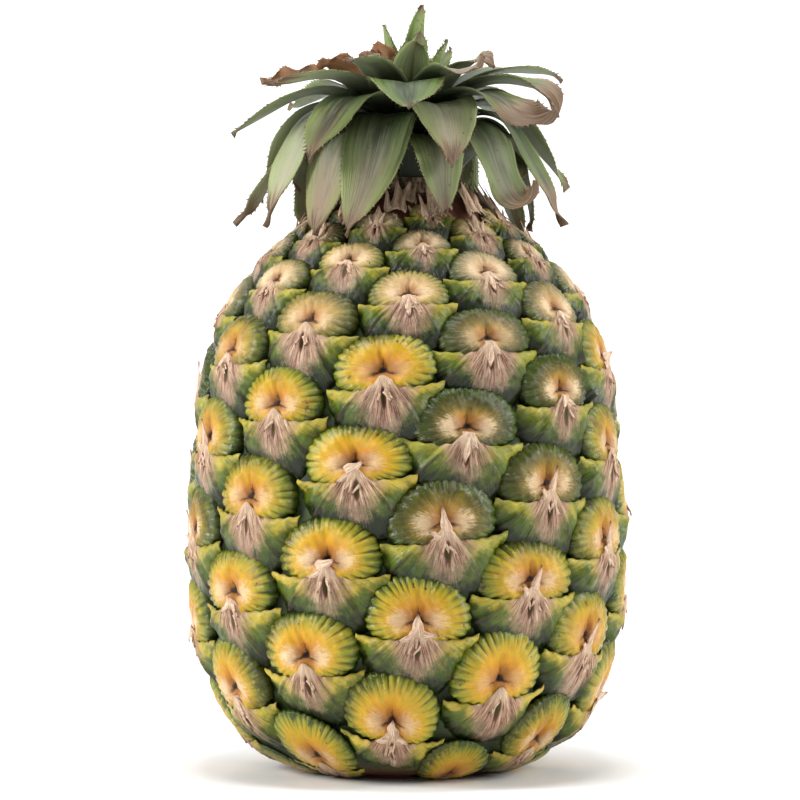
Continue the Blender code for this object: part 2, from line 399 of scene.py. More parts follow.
class Shader(Nodes):
    """A material of procedural nodes."""

    def __init__(self, name):
        self.material = bpy.data.materials.new(name)
        self.material.use_nodes = True
        super().__init__(self.material.node_tree)
        self.surface = self.tree.nodes["Principled BSDF"]

    def value(self, name):
        return self.node("ShaderNodeAttribute", attribute_name=name, output="Fac")

    def values(self, *names):
        return [self.value(name) for name in names]

    def vector(self, name):
        return self.node("ShaderNodeAttribute", attribute_name=name, output="Vector")

    def place(self):
        return self.node("ShaderNodeTexCoord", output="Object")

    def sway(self, noise, amount):
        """A noise brought down to swing about zero, times an amount."""
        return self.times(self.plus(noise, -0.5), amount)

    def size_of(self, value):
        return self.math("ABSOLUTE", value)

    def fade(self, value, low, high, start=0.0, end=1.0):
        return self.node(
            "ShaderNodeMapRange",
            {"Value": value, "From Min": low, "From Max": high, "To Min": start, "To Max": end},
            interpolation_type="SMOOTHSTEP",
        )

    def mix(self, share, a, b):
        inputs = {"Factor": share, 6: a, 7: b}
        return self.node("ShaderNodeMix", inputs, 2, data_type="RGBA")

    def mix_values(self, share, a, b):
        return self.node("ShaderNodeMix", {"Factor": share, 2: a, 3: b})

    def noise(self, where, scale, detail=3.0, rough=0.55):
        inputs = {"Vector": where, "Scale": scale, "Detail": detail, "Roughness": rough}
        return self.node("ShaderNodeTexNoise", inputs)

    def cells(self, where, scale):
        inputs = {"Vector": where, "Scale": scale}
        return self.node("ShaderNodeTexVoronoi", inputs, "Distance")

    def shifted(self, vector, seed, x, y):
        """The vector moved by the seed, so that no two fruitlets share a pattern."""
        step = self.combine(self.times(seed, x), self.times(seed, y), 0.0)
        return self.node("ShaderNodeVectorMath", {0: vector, 1: step})

    def ramp(self, value, stops):
        made = self.tree.nodes.new("ShaderNodeValToRGB")
        self.feed(made.inputs[0], value)
        marks = made.color_ramp.elements
        while len(marks) < len(stops):
            marks.new(0.5)
        for mark, (place, colour) in zip(marks, stops):
            mark.position = place
            mark.color = (*colour, 1.0)
        return made.outputs[0]

    def relief(self, *layers):
        """Bump layers as (height, distance in millimetres, strength)."""
        normal = None
        for height, distance, strength in layers:
            inputs = {"Height": height, "Distance": distance * MM, "Strength": strength}
            if normal:
                inputs["Normal"] = normal
            normal = self.node("ShaderNodeBump", inputs)
        return normal

    def finish(self, colour, roughness, normal=None, **fixed):
        self.feed(self.surface.inputs["Base Color"], colour)
        self.feed(self.surface.inputs["Roughness"], roughness)
        if normal:
            self.feed(self.surface.inputs["Normal"], normal)
        for name, value in fixed.items():
            self.surface.inputs[name.replace("_", " ")].default_value = value
        return self.material


def sepal_tints(s, look, radial):
    """The ripe and the unripe colour of the sepals, from the hub (0) to the rim (1)."""
    ripe = s.ramp(radial, [
        (0.08, look.amber), (0.30, look.orange), (0.52, look.yellow), (0.70, look.gold),
        (0.84, look.lime), (0.98, look.green),
    ])
    unripe = s.ramp(radial, [
        (0.08, look.amber), (0.28, look.straw), (0.48, look.olive), (0.68, look.moss),
        (0.86, look.green), (0.98, look.deep_green),
    ])
    return ripe, unripe


def rim_painted_shade(s, look, tint, speck):
    """Paints shade into a rim in dark moss green: on one side, in a direction set by the seed, and in the
    folds between its ribs.
    """
    radial, around, seed = s.values("radial", "around", "seed")
    way = s.math("COSINE", s.plus(around, s.times(seed, -44.0)))
    # painted shade on one side of the rim
    shaded_side = s.fade(s.plus(s.times(way, 0.5), s.sway(speck, 0.9)), 0.22, 0.6)
    tint = s.mix(s.times(shaded_side, s.fade(radial, 0.55, 0.9), 0.92), tint, look.moss)
    # painted shade in the folds between the ribs
    fold_shade = s.times(s.fade(s.value("reach"), 0.75, 0.2), s.fade(radial, 0.55, 0.85))
    return s.mix(s.times(fold_shade, 0.75), tint, look.moss)


def down(s, look, tint, hairs, speck):
    """Lays pale down on the swellings beside the hub, and over all of a fruitlet near the neck."""
    radial, bloom, seed = s.values("radial", "bloom", "seed")
    x, y, _ = s.split(s.vector("flat"))
    place = s.combine(s.times(s.plus(s.size_of(x), -5.0), 0.21), s.times(y, 0.25), 0.0)
    away = s.node("ShaderNodeVectorMath", {0: place}, "Value", operation="LENGTH")
    patch = s.fade(s.plus(away, s.sway(hairs, 1.5), s.sway(speck, 1.0)), 1.0, 0.2)
    patch = s.times(patch, s.fade(s.plus(bloom, seed), 0.0, 1.0, 0.22, 0.82))
    tint = s.mix(patch, tint, look.cream)
    frost = s.times(bloom, s.fade(s.plus(radial, s.times(hairs, 0.5)), 1.25, 0.55))
    return s.mix(s.times(frost, 0.7), tint, look.cream)


def hub_cracks(s, speck):
    """How dark the cracks at the hub are: one runs up, and two sag to its sides."""
    x, y, _ = s.split(s.vector("flat"))
    aside = s.size_of(x)
    wave = s.size_of(s.plus(x, s.sway(speck, 2.2)))
    upward = s.times(s.fade(wave, 0.42, 0.10), s.fade(y, 4.6, 2.0), s.fade(y, -0.6, 0.2))
    sag = s.size_of(s.plus(y, s.times(aside, 0.30), s.sway(speck, 1.6)))
    sideways = s.times(s.fade(sag, 0.5, 0.1), s.fade(aside, 5.0, 2.0))
    return s.math("MAXIMUM", upward, sideways)


def sepal_colour(s, look):
    """Colour of the fused sepals from the hub out to the ribbed rim, for this ripeness."""
    radial, around, seed = s.values("radial", "around", "seed")
    flat = s.shifted(s.vector("flat"), seed, 900.0, 500.0)
    fibres = s.combine(s.times(around, 11.0), s.times(radial, 2.0), s.times(seed, 31.0))
    hairs = s.noise(s.combine(s.times(around, 34.0), s.times(radial, 3.5), seed), 1.0, 3.0)
    blotch = s.noise(flat, 0.22, 4.0)
    speck = s.noise(flat, 0.9, 3.0)
    wandering = s.plus(radial, s.sway(s.noise(fibres, 1.0, 4.0), 0.34), s.sway(blotch, 0.42))
    ripe, unripe = sepal_tints(s, look, wandering)
    ripeness = s.plus(s.value("ripeness"), s.sway(blotch, 0.7))
    tint = s.mix(s.fade(ripeness, 0.2, 0.8), unripe, ripe)
    # painted shade on one side of each rim and in its rib folds
    tint = rim_painted_shade(s, look, tint, speck)
    tint = down(s, look, tint, hairs, speck)
    warm = s.fade(s.plus(radial, s.sway(hairs, 0.6)), 0.40, 0.08)
    tint = s.mix(s.times(warm, 0.75), tint, look.rust)
    spots = s.times(s.fade(s.noise(flat, 0.42, 2.0), 0.66, 0.73), s.fade(radial, 0.5, 0.7))
    tint = s.mix(s.times(spots, 0.85), tint, look.bruise)
    tint = s.mix(s.times(hub_cracks(s, speck), 0.85), tint, look.bark)
    return s.mix(s.fade(radial, 0.11, 0.05), tint, look.bark)


def bract_greens(s, look, streak, blotch):
    """The live part of a bract: yellow green wings above and green lower down, darkened to deep green as
    painted shade where it dips under the next fruitlet.
    """
    down_it, aside = s.value("radial"), s.size_of(s.value("around"))
    sunned = s.plus(streak, s.times(s.value("ripeness"), 0.35))
    wing = s.mix(s.fade(sunned, 0.45, 0.8), look.lime, look.wing)
    green = s.mix(s.fade(streak, 0.35, 0.65), look.green, look.leaf_green)
    lower = s.plus(down_it, s.times(aside, 0.16), s.sway(streak, 0.6), s.sway(blotch, 0.6))
    tint = s.mix(s.fade(lower, 0.16, 0.46), wing, green)
    # painted shade: the bract darkens to deep green where it dips under the next fruitlet
    return s.mix(s.fade(lower, 0.48, 0.80), tint, look.deep_green)


def bract_colour(s, look):
    """Colour of a bract: a frayed papery star at its middle, on the green of its wings and foot."""
    reach, around, seed, slit = s.values("reach", "around", "seed", "slit")
    flat = s.shifted(s.vector("flat"), seed, 700.0, 300.0)
    streaks = s.combine(s.times(around, 17.0), s.times(reach, 0.10), s.times(seed, 17.0))
    streak = s.noise(streaks, 1.0, 4.0)
    fine = s.noise(s.combine(s.times(around, 42.0), s.times(reach, 0.30), seed), 1.0, 3.0)
    blotch = s.noise(flat, 0.28, 4.0)
    speck = s.noise(flat, 1.1, 3.0)
    tint = bract_greens(s, look, streak, blotch)
    star = s.times(reach, s.plus(s.times(s.size_of(around), 0.75), 1.0))
    star = s.plus(star, s.sway(fine, 12.0), s.sway(blotch, 10.0), s.sway(speck, 6.0), s.sway(seed, 5.0))
    papery = s.mix(s.fade(fine, 0.40, 0.62), look.paper, look.paper_light)
    papery = s.mix(s.fade(speck, 0.55, 0.75), papery, look.dust)
    tint = s.mix(s.times(s.fade(star, 20.0, 9.0), 0.95), tint, papery)
    torn = s.times(s.fade(fine, 0.44, 0.54), s.fade(streak, 0.38, 0.52), s.fade(reach, 3.0, 6.0))
    tint = s.mix(s.times(torn, s.fade(star, 20.0, 12.0), 0.9), tint, look.fibre)
    tint = s.mix(s.value("crease"), tint, look.bark)
    inside = s.mix(s.fade(slit, 0.6, 0.9), look.fibre, look.moss)
    return s.mix(s.fade(slit, 0.25, 0.6), tint, inside)


def rind_material(look):
    """One material for sepals, bracts and tips, told apart by their tissue value."""
    s = Shader("rind")
    tissue, radial, reach, seed = s.values("tissue", "radial", "reach", "seed")
    on_bract = s.fade(tissue, 0.4, 0.6)
    on_tip = s.fade(tissue, 1.4, 1.6)
    grain = s.noise(s.place(), 1100.0, 3.0)
    mottle = s.noise(s.place(), 420.0, 3.0)
    split = s.noise(s.combine(s.times(reach, 4.0), radial, seed), 1.5, 3.0)
    paper = s.mix(s.fade(s.plus(split, s.times(grain, 0.3)), 0.5, 0.8), look.paper_light, look.paper)
    paper = s.mix(s.fade(radial, 0.75, 1.0), paper, look.fibre)
    colour = s.mix(on_bract, sepal_colour(s, look), bract_colour(s, look))
    colour = s.mix(on_tip, colour, paper)
    # painted shade over the real dark green: darker towards deep green the deeper a point lies in the
    # grooves, and on bract undersides
    colour = s.mix(s.times(s.value("depth"), 0.9), colour, look.deep_green)
    sheen = s.plus(s.fade(radial, 0.15, 0.75, 0.42, 0.13), s.times(mottle, 0.14))
    dull = s.plus(s.fade(reach, 6.0, 12.0, 0.60, 0.24), s.times(mottle, 0.14))
    rough = s.mix_values(on_bract, sheen, dull)
    rough = s.mix_values(on_tip, rough, DRY_ROUGHNESS)
    rays = s.combine(s.times(s.value("around"), 34.0), s.times(radial, 3.0), seed)
    normal = s.relief((s.noise(rays, 1.0, 3.0), 0.6, 0.6), (mottle, 0.5, 0.5), (grain, 0.15, 0.5))
    return s.finish(colour, rough, normal, Specular_IOR_Level=RIND_SPECULAR)


# --- Fruitlets ---


def tile_place(u, v):
    """Where points lie on a fruitlet's own tile of the texture map."""
    return np.stack([u, v, np.zeros(len(u))], 1)


def dome_rim(turn, lobe, sizes, phases):
    """Distance from the hub to the scalloped rim, in each direction."""
    high = np.where(np.sin(turn) > 0, sizes.rise, 0.66 * sizes.rise)
    wide = np.abs(np.cos(turn)) / sizes.half_width
    rim = (wide**RIM_POWER + (np.abs(np.sin(turn)) / high) ** RIM_POWER) ** (-1 / RIM_POWER)
    rim = rim * (1 + 0.03 * np.sin(2 * turn + phases[2]) + 0.025 * np.sin(3 * turn + phases[3]))
    return rim * (1 - 0.05 * (1 - lobe))


def dome_height(x, y, t, lobe, sizes, phases):
    a, b, c, _ = phases
    # The rounded rim, the sunken middle and the ribs.
    fall = 1 - (1 - np.clip((t - 0.52) / 0.48, 0, 1) ** 2.2) ** (1 / 2.2)
    h = -sizes.groove * fall - 0.9 * bump(t, 0.0, 0.36)
    edge = smoothstep(0.0, 1.0, (t - 0.50) / 0.45)
    h = h - sizes.rib_depth * (1 - lobe) * edge * (1 - 0.5 * fall)
    # The swellings beside the hub.
    h = h + 0.45 * bump(np.abs(x), 6.0, 3.6) * bump(y, 0.5, 4.5)
    # The seam above the hub, the folds at its sides and the hub's pit.
    seam = x + 0.5 * np.sin(0.8 * y + a)
    h = h - 0.75 * bump(seam, 0.0, 1.0) * smoothstep(0.0, 2.0, y) * smoothstep(0.75, 0.25, t)
    sag = y + 0.3 * np.abs(x)
    h = h - 0.5 * bump(sag, -0.3 + 0.3 * np.sin(b), 0.7) * bump(np.abs(x), 2.0, 3.5)
    h = h - 1.5 * bump(x, 0.2, 0.9) * bump(y, 0.5, 0.8)
    # Unevenness all over.
    return h + 0.20 * np.sin(0.9 * x + a) * np.sin(1.1 * y + b) + 0.12 * np.sin(2.1 * x + c + y)


def fruitlet_dome(shell, dice, sizes):
    """The sepals: a low cushion with a hub, a median crease and a scalloped, ribbed rim."""
    turn = -math.pi / 2 + np.linspace(0.0, 2 * math.pi, DOME_COLUMNS, endpoint=False)
    phases = dice.uniform(0, FULL_TURN, 4)
    ribs = sizes.ribs * turn + 1.4 * np.sin(2 * turn + phases[0]) + 1.0 * np.sin(5 * turn + phases[1])
    lobe = np.abs(np.sin(ribs / 2)) ** 0.7
    rim = dome_rim(turn, lobe, sizes, phases)
    t = (np.arange(1, DOME_RINGS + 1) / DOME_RINGS)[:, None] ** 0.85
    x = t * rim * np.cos(turn)
    y = t * rim * np.sin(turn)
    h = dome_height(x, y, t, lobe, sizes, phases)
    base = -sizes.groove - 2.0
    skirt = np.stack([0.96 * x[-1], 0.96 * y[-1], np.full(DOME_COLUMNS, base)], 1)
    rings = np.stack([x, y, h], 2).reshape(-1, 3)
    points = np.vstack([[[0.0, 0.0, -2.2]], rings, skirt, [[0.0, 0.0, base]]])
    faces = closed_faces(DOME_COLUMNS, DOME_RINGS + 1)
    radial = np.concatenate([[0.0], np.repeat(t[:, 0], DOME_COLUMNS), np.ones(DOME_COLUMNS), [1.0]])
    around = np.concatenate([[0.0], np.tile(turn, DOME_RINGS + 1), [0.0]])
    rib = np.concatenate([[1.0], np.tile(lobe, DOME_RINGS + 1), [0.0]])
    # how far down into the groove a point lies, for painted shade
    depth = np.clip((-points[:, 2] - 2.0) / sizes.groove, 0, 1) ** 1.5
    tile = tile_place(0.02 + 0.96 * (points[:, 0] / 37 + 0.5), 0.52 + 0.46 * (points[:, 1] + 9) / 23)
    tile[-DOME_COLUMNS - 1:, :2] = [0.99, 0.985]
    shell.add(points, faces, radial=radial, around=around, depth=depth, tissue=SEPAL, reach=rib,
              crease=0.0, slit=0.0, flat=points, tile=tile)


def bract_grid(phases):
    """A bract's points laid flat, from its upper lip (v is 0) down to its foot (v is 1)."""
    u = np.linspace(-1.0, 1.0, BRACT_COLUMNS)[None, :] + np.zeros((BRACT_ROWS, 1))
    v = np.linspace(0.0, 1.0, BRACT_ROWS)[:, None] ** 1.1 + np.zeros((1, BRACT_COLUMNS))
    top_x = 18.2 * u + 0.3 * np.sin(3 * u + phases[0])
    lip = 4.0 * bump(top_x, 0.0, 3.4) + 1.5 * np.abs(u) ** 3
    top_y = -5.6 + lip + 0.16 * np.sin(1.7 * top_x + phases[1])
    x = top_x + (-3.0 + 15.5 * u - top_x) * v
    y = top_y + (-22.0 - 3.5 * u + 3.0 * u**2 - top_y) * v
    return u, v, x, y


def bract_pleats(h, v, angle, reach, phases):
    """Adds the pleats and two side creases to a bract's height. Returns it and the creases' darkness."""
    a, b, c, _ = phases
    pleat = np.sin(17 * angle + 1.5 * np.sin(3 * angle + c)) * smoothstep(1.5, 5.0, reach)
    h = h + 0.34 * pleat * smoothstep(0.9, 0.3, v)
    crease = np.zeros_like(h)
    for side in (-0.80 + 0.10 * math.sin(a), 0.50 + 0.08 * math.sin(b)):
        grown_out = smoothstep(4.0, 9.0, reach)
        h = h + 0.75 * bump(angle, side, 0.035 + 0.05 * smoothstep(16, 4, reach)) * grown_out
        crease = crease + 0.9 * bump(angle, side + 0.02, 0.022) * smoothstep(8.0, 13.0, reach)
    return h, crease


def fruitlet_bract(shell, dice):
    """The leaf-like bract under a fruitlet's sepals: wings at its sides, pleats that fan down."""
    phases = a, _, c, d = dice.uniform(0, FULL_TURN, 4)
    u, v, x, y = bract_grid(phases)
    h = 0.15 - 4.2 * v**2.1 - 1.8 * np.abs(u) ** 2.4 * (1 - 0.5 * v)
    h = h + 0.7 * bump(x, 0.0, 2.4) * (1 - v) - 0.45 * bump(v, 0.0, 0.04)
    h = h - 2.4 * smoothstep(0.62, 1.0, np.abs(u)) * smoothstep(0.02, 0.30, v)
    angle = np.arctan2(x, 0.5 - y)
    reach = np.hypot(x, y + 1.5)
    h, crease = bract_pleats(h, v, angle, reach, phases)
    slit = bump(x, 0.3 * math.sin(c), 0.85) * bump(y, -8.0, 3.0)
    h = h - 1.1 * slit + 0.12 * np.sin(1.9 * x + d) * np.sin(1.3 * y + a)
    dark_lip = bump(v, 0.0, 0.025) * smoothstep(5.0, 12.0, np.abs(x))
    crease = np.clip(crease + 0.5 * dark_lip, 0, 1)
    points, faces, side = sheet_shell(np.stack([x, y, h], 2), np.full(h.shape, BRACT_THICKNESS))
    # painted shade: deeper points darken, and the whole underside
    depth = np.clip((-points[:, 2] - 2.3) / 2.4, 0, 1) ** 1.3 * side + (1 - side)
    tile = tile_place(0.02 + 0.96 * (points[:, 0] / 42 + 0.5), 0.02 + 0.46 * (points[:, 1] + 26) / 26)
    tile[side == 0, :2] = [0.99, 0.99]

    def both(value):
        return np.tile(value.ravel(), 2)

    shell.add(points, faces, radial=both(v), around=both(angle), depth=depth, tissue=BRACT,
              reach=both(reach), crease=both(crease), slit=both(np.clip(1.5 * slit, 0, 1)),
              flat=points, tile=tile)


def papery_blade(shell, dice, start, heading, length, width, lift, curl=0.0, fold=0.35):
    """One torn papery tip, from its foot at start, in the heading given in degrees from straight up."""
    v = np.linspace(0.0, 1.0, BLADE_ROWS)[:, None] + np.zeros(BLADE_COLUMNS)
    u = np.linspace(-1.0, 1.0, BLADE_COLUMNS) + np.zeros((BLADE_ROWS, 1))
    a, b = dice.uniform(0, FULL_TURN, 2)
    way = math.radians(heading)
    half = 0.5 * width * (1 - v**1.4) * (1 + 0.18 * np.sin(9 * v + a + u)) + 0.06
    side = u * half + 0.05 * width * np.sin(5 * v + b)
    along = length * v
    x = start[0] + along * math.sin(way) + side * math.cos(way)
    y = start[1] + along * math.cos(way) - side * math.sin(way)
    h = start[2] + lift * v**1.5 - curl * v**3 - fold * np.abs(u) * half + 0.12 * np.sin(7 * v + 3 * u)
    points, faces, _ = sheet_shell(np.stack([x, y, h], 2), np.full(h.shape, BLADE_THICKNESS))
    along = np.tile(v.ravel(), 2)
    tile = tile_place(0.02 + 0.08 * along, np.full(len(along), 0.53))
    shell.add(points, faces, radial=along, around=0.0, depth=0.0, tissue=TIP,
              reach=np.tile(u.ravel(), 2), crease=0.0, slit=0.0, flat=points, tile=tile)


# Each sort's blades: (x, y, heading, length, width, lift, curl, fold). A heading is from straight up.
TIP_BLADES = {
    "up": [(0.3, -3.6, 0, 8.4, 3.0, 1.0, 0.0, 0.5), (-1.6, -4.0, -52, 3.4, 2.2, 0.3, 0.0, 0.3)],
    "thick": [(0.2, -4.2, 0, 6.6, 4.2, 2.4, 0.0, 0.7), (1.2, -4.0, 95, 4.6, 2.2, 0.6, 0.0, 0.3),
              (-1.2, -4.2, -100, 4.6, 2.2, 0.6, 0.0, 0.3)],
    "down": [(0.0, -1.6, 182, 9.5, 4.0, 1.0, 1.2, 0.5), (0.5, -2.4, 150, 5.0, 1.8, 0.5, 0.0, 0.3)],
    "flap": [(-2.4, -2.6, 68, 6.2, 3.8, 1.3, 0.0, 0.2), (-1.4, -3.4, -110, 4.6, 2.0, 0.3, 0.0, 0.3)],
    "curled": [(0.0, -2.4, 215, 4.6, 2.6, 2.4, 1.5, 0.3), (0.8, -3.0, 130, 3.6, 1.6, 0.6, 0.0, 0.3)],
    "neck": [(0.0, -3.0, 0, 12.0, 8.0, 2.6, 0.0, 0.2), (1.6, -3.2, 26, 8.0, 3.0, 2.0, 0.0, 0.3),
             (-2.4, -3.2, -34, 7.0, 2.6, 1.6, 0.0, 0.3)],
    "scale": [(0.0, -2.0, 0, 13.0, 11.0, 7.0, 0.0, 0.25), (4.0, -2.5, 25, 9.0, 6.0, 4.0, 0.0, 0.3),
              (-4.5, -2.5, -28, 10.0, 6.0, 5.0, 0.0, 0.3)],
    "torn": [],
    "foot": [],
}


def bract_tip(shell, dice, sort):
    """What is left of the bract's point, in one of its sorts, with loose fibres below it."""
    lean = dice.uniform(-14, 14)
    for x, y, heading, length, width, lift, curl, fold in TIP_BLADES[sort]:
        papery_blade(shell, dice, (x, y, 0.75), heading + lean, length, width, lift, curl, fold)
    for heading in dice.uniform(125, 235, 3):
        start = (dice.uniform(-1.6, 1.6), dice.uniform(-6.5, -4.0), 0.5)
        papery_blade(shell, dice, start, heading, dice.uniform(2.4, 4.6), 0.8, dice.uniform(0.2, 0.9), 0.3)


def fruitlet_meshes(sizes):
    """A collection of fruitlets in flat form, two makes of each sort, in alphabetical order."""
    stock = bpy.data.collections.new("fruitlet_stock")
    for sort in SORT_NAMES:
        for make in range(MAKES_PER_SORT):
            dice = rng(SORT_NAMES.index(sort) + 1, make + 1)
            shell = Shell()
            if sort != "scale":
                fruitlet_dome(shell, dice, sizes)
                fruitlet_bract(shell, dice)
            bract_tip(shell, dice, sort)
            name = f"fruitlet_{sort}_{make}"
            stock.objects.link(bpy.data.objects.new(name, shell.mesh(name)))
    return stock


def fruitlet_list(track, row):
    """(number, angle, distance) of one row's fruitlets and neck scales."""
    listed = [f for f in track.fruitlets() if f[0] % ROWS_OF_FRUITLETS == row]
    listed = [f for f in listed if 0.0 < f[2] < track.length - 1.0]
    for extra in range(row, NECK_SCALES, ROWS_OF_FRUITLETS):
        listed.append((FIRST_SCALE - extra, DIVERGENCE * extra, 3.0 + 0.35 * extra))
    return listed


def sort_of(number, distance, length, drawn):
    """A fruitlet's sort: its place decides near the ends, then TIP_SORTS, then the drawn one."""
    if number <= FIRST_SCALE:
        return "scale"
    if distance > length - FOOT_BAND:
        return "foot"
    if distance < NECK_BAND:
        return "neck"
    return TIP_SORTS.get(number, drawn)


def fruitlet_plan(track, row):
    """One row's fruitlets as loose points that carry where each goes and how ripe it is."""
    plan = Shell()
    for place, (number, angle, distance) in enumerate(fruitlet_list(track, row)):
        radius, height = track.at(distance)
        dice = rng(number + 200, 7)
        shade = math.cos(math.radians(angle - 200.0))
        rule = 0.30 - 0.16 * shade + 0.35 * (1 - height / 165.0) + dice.uniform(-0.22, 0.22)
        sort = sort_of(number, distance, track.length, USUAL_SORTS[dice.integers(len(USUAL_SORTS))])
        low = smoothstep(0.0, 20.0, height)
        tall = 0.8 if sort == "scale" else min(track.spacing(distance) / SPACING, MOST_STRETCH)
        plan.add(
            np.zeros((1, 3)), [],
            hub_angle=math.radians(angle) + dice.uniform(-0.6, 0.6) / WIDEST_RADIUS,
            lean=[[0.0, 0.0, math.radians(dice.uniform(-5, 5))]],
            stretch=[[dice.uniform(0.95, 1.04), dice.uniform(0.95, 1.05), 1.0]],
            hub_distance=distance * MM,
            along_scale=tall,
            height_scale=(0.35 + 0.65 * low) * (radius / WIDEST_RADIUS) ** 0.5,
            sort=SORT_NAMES.index(sort) * MAKES_PER_SORT + dice.integers(MAKES_PER_SORT),
            ripeness=np.clip(RIPENESS.get(number, rule), 0.0, 1.0),
            bloom=smoothstep(118.0, 150.0, height),
            seed=dice.uniform(0.0, 1.0),
            tile_corner=[[place % TILES_ACROSS / TILES_ACROSS, place // TILES_ACROSS / TILES_ACROSS, 0.0]],
        )
    return plan.mesh("fruitlet_plan")


def core_mesh(track, look):
    """What shows between the fruitlets and round the foot: a closed skin below the rind."""
    inset = 4.4
    radius, height = track.line[:, 0], track.line[:, 1]
    way = np.gradient(track.line, axis=0)
    way /= np.linalg.norm(way, axis=1, keepdims=True)
    low = np.clip(height / 16.0, 0.25, 1.0) * np.clip((165.0 - height) / 12.0, 0.1, 1.0)
    out = np.stack([radius + way[:, 1] * inset * low, height - way[:, 0] * inset * low], 1)
    out[:, 1] = np.maximum(out[:, 1], 0.0)
    section = [(0.0, 165.0), (13.0, 165.0), *out[::4], (27.0, 0.0), (16.5, 0.0), (14.5, 2.6), (0.0, 2.6)]

    def wobble(turn, ring, up):
        ring = ring + 0.25 * np.sin(21 * turn + 3.0 * up[0]) * (up[0] > 3.0)
        return ring, up

    return turned_mesh("flesh_core", section, 144, wobble, core_material(look))


def core_material(look):
    s = Shader("core")
    place = s.place()
    patch = s.noise(place, 90.0, 4.0)
    grain = s.noise(place, 700.0, 3.0)
    colour = s.mix(s.fade(patch, 0.35, 0.65), look.deep_green, look.green)
    colour = s.mix(s.fade(grain, 0.6, 0.75), colour, look.bark)
    foot = s.node("ShaderNodeSeparateXYZ", {0: place}, 2)
    colour = s.mix(s.fade(foot, 0.006, 0.001), colour, look.fibre)
    colour = s.mix(s.fade(foot, 0.152, 0.160), colour, look.fibre)
    return s.finish(colour, 0.6, s.relief((patch, 1.0, 0.5), (grain, 0.3, 0.5)))


# --- Crown ---


def tier_at(share):
    """Start angle, end angle, length and width of the leaf this far up the crown."""
    rows = np.array(TIERS, float)
    return [np.interp(share, rows[:, 0], rows[:, i]) for i in range(1, 5)]


def stem_radius(rise):
    return STEM_FOOT_RADIUS + (STEM_TOP_RADIUS - STEM_FOOT_RADIUS) * rise / STEM_HEIGHT


